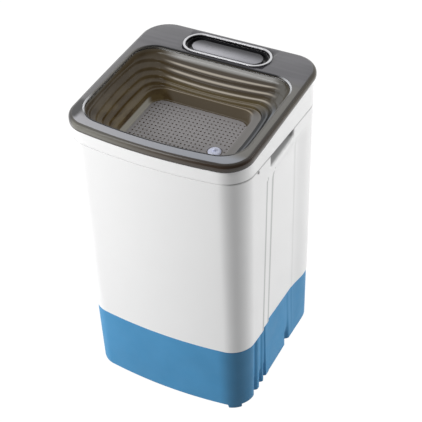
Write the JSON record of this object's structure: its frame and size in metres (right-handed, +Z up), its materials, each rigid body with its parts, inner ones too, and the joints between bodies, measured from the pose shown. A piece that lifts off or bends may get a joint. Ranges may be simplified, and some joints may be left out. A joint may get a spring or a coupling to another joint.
{
  "type": "single-tub washing machine",
  "caption": "Top-loading single-tub washing machine: white cabinet on a blue base, hinged smoke lid moulded as a ridged scrubbing basin with a drain plug.",
  "frame": {"origin": "on the floor, under the middle of the lid", "axes": "+Z up, the bowed front faces -Y, +X to the right seen from the front"},
  "size_m": [0.465, 0.478, 0.8221],
  "materials": {
    "white_plastic": "glossy moulded plastic",
    "blue_plastic": "satin moulded plastic",
    "smoke_plastic": "glossy translucent moulded plastic",
    "grey_mat": "satin grey with small dimples",
    "plug_rubber": "smooth rubber",
    "chrome": "polished",
    "black_plastic": "satin",
    "silver_plastic": "fine silver paint",
    "circuit_board": "lacquered board",
    "tub_plastic": "glossy moulded plastic",
    "pulsator_plastic": "glossy moulded plastic",
    "black_rubber": "matt rubber",
    "steel": "turned steel",
    "dark_steel": "blackened screws",
    "cast_alloy": "cast",
    "brass": "turned",
    "motor_paint": "dull paint",
    "grey_fitting": "moulded",
    "valve_rubber": "smooth rubber"
  },
  "bodies": {
    "machine": {"base": "blue_plastic", "feet": "blue_plastic", "cabinet": "white_plastic", "top_collar": "white_plastic", "collar_screws": "dark_steel", "hinge_pins": "steel", "control_housing": "black_plastic", "control_panel": "silver_plastic", "control_board": "circuit_board", "wash_tub": "tub_plastic", "tub_gasket": "black_rubber", "shaft_housing": "cast_alloy", "shaft_bushes": "brass", "shaft_seal": "black_rubber", "drive_belt": "black_rubber", "motor": "motor_paint", "motor_bracket": "steel", "motor_grommets": "black_rubber", "capacitor": "white_plastic", "drain_grille": "steel", "drain_valve_body": "grey_fitting", "valve_spring": "steel", "drain_solenoid": "motor_paint", "drain_hose": "black_rubber", "drain_outlet": "grey_fitting", "cord_gland": "black_plastic", "service_cover": "blue_plastic", "cover_screws": "dark_steel"},
    "lid": {"lid_frame": "smoke_plastic", "scrub_basin": "smoke_plastic", "scrub_floor": "grey_mat", "chrome_ring": "chrome"},
    "plug": {"basin_plug": "plug_rubber"},
    "start_button": {"start_key": "silver_plastic"},
    "program_button": {"program_key": "silver_plastic"},
    "drain_button": {"drain_key": "silver_plastic"},
    "pulsator_set": {"pulsator": "pulsator_plastic", "pulsator_shaft": "steel", "pulsator_screw": "steel", "drive_pulley": "cast_alloy", "pulley_nut": "steel"},
    "rotor": {"motor_shaft": "steel", "motor_pulley": "cast_alloy"},
    "filter": {"lint_filter": "white_plastic"},
    "plunger": {"valve_plunger": "valve_rubber"}
  },
  "joints": [
    {"name": "lid_hinge", "type": "hinge", "parent": "machine", "child": "lid", "pos_m": [0, 0.2324, 0.7953], "axis": [-1, 0, 0], "range_deg": [0, 95]},
    {"name": "plug_lift", "type": "slide", "parent": "lid", "child": "plug", "axis": [0, 0, 1], "range_m": [0, 0.03]},
    {"name": "start_press", "type": "slide", "parent": "machine", "child": "start_button", "axis": [0, 0, -1], "range_m": [0, 0.0015], "stiffness_N_per_m": 400, "springref_m": -0.0008},
    {"name": "program_press", "type": "slide", "parent": "machine", "child": "program_button", "axis": [0, 0, -1], "range_m": [0, 0.0015], "stiffness_N_per_m": 400, "springref_m": -0.0008},
    {"name": "drain_press", "type": "slide", "parent": "machine", "child": "drain_button", "axis": [0, 0, -1], "range_m": [0, 0.0015], "stiffness_N_per_m": 400, "springref_m": -0.0008},
    {"name": "pulsator_spin", "type": "hinge", "parent": "machine", "child": "pulsator_set", "pos_m": [0, -0.021, 0.238], "axis": [0, 0, 1], "continuous": true},
    {"name": "motor_spin", "type": "hinge", "parent": "machine", "child": "rotor", "pos_m": [0, 0.137, 0.15], "axis": [0, 0, 1], "continuous": true},
    {"name": "filter_lift", "type": "slide", "parent": "machine", "child": "filter", "axis": [0, 0, 1], "range_m": [0, 0.08]},
    {"name": "valve_pull", "type": "slide", "parent": "machine", "child": "plunger", "axis": [0, 0, -1], "range_m": [0, 0.008], "stiffness_N_per_m": 300, "springref_m": -0.004, "deforming": ["valve_spring"]}
  ],
  "couplings": [
    {"joint": "motor_spin", "follows": "pulsator_spin", "ratio": 3.4167}
  ]
}
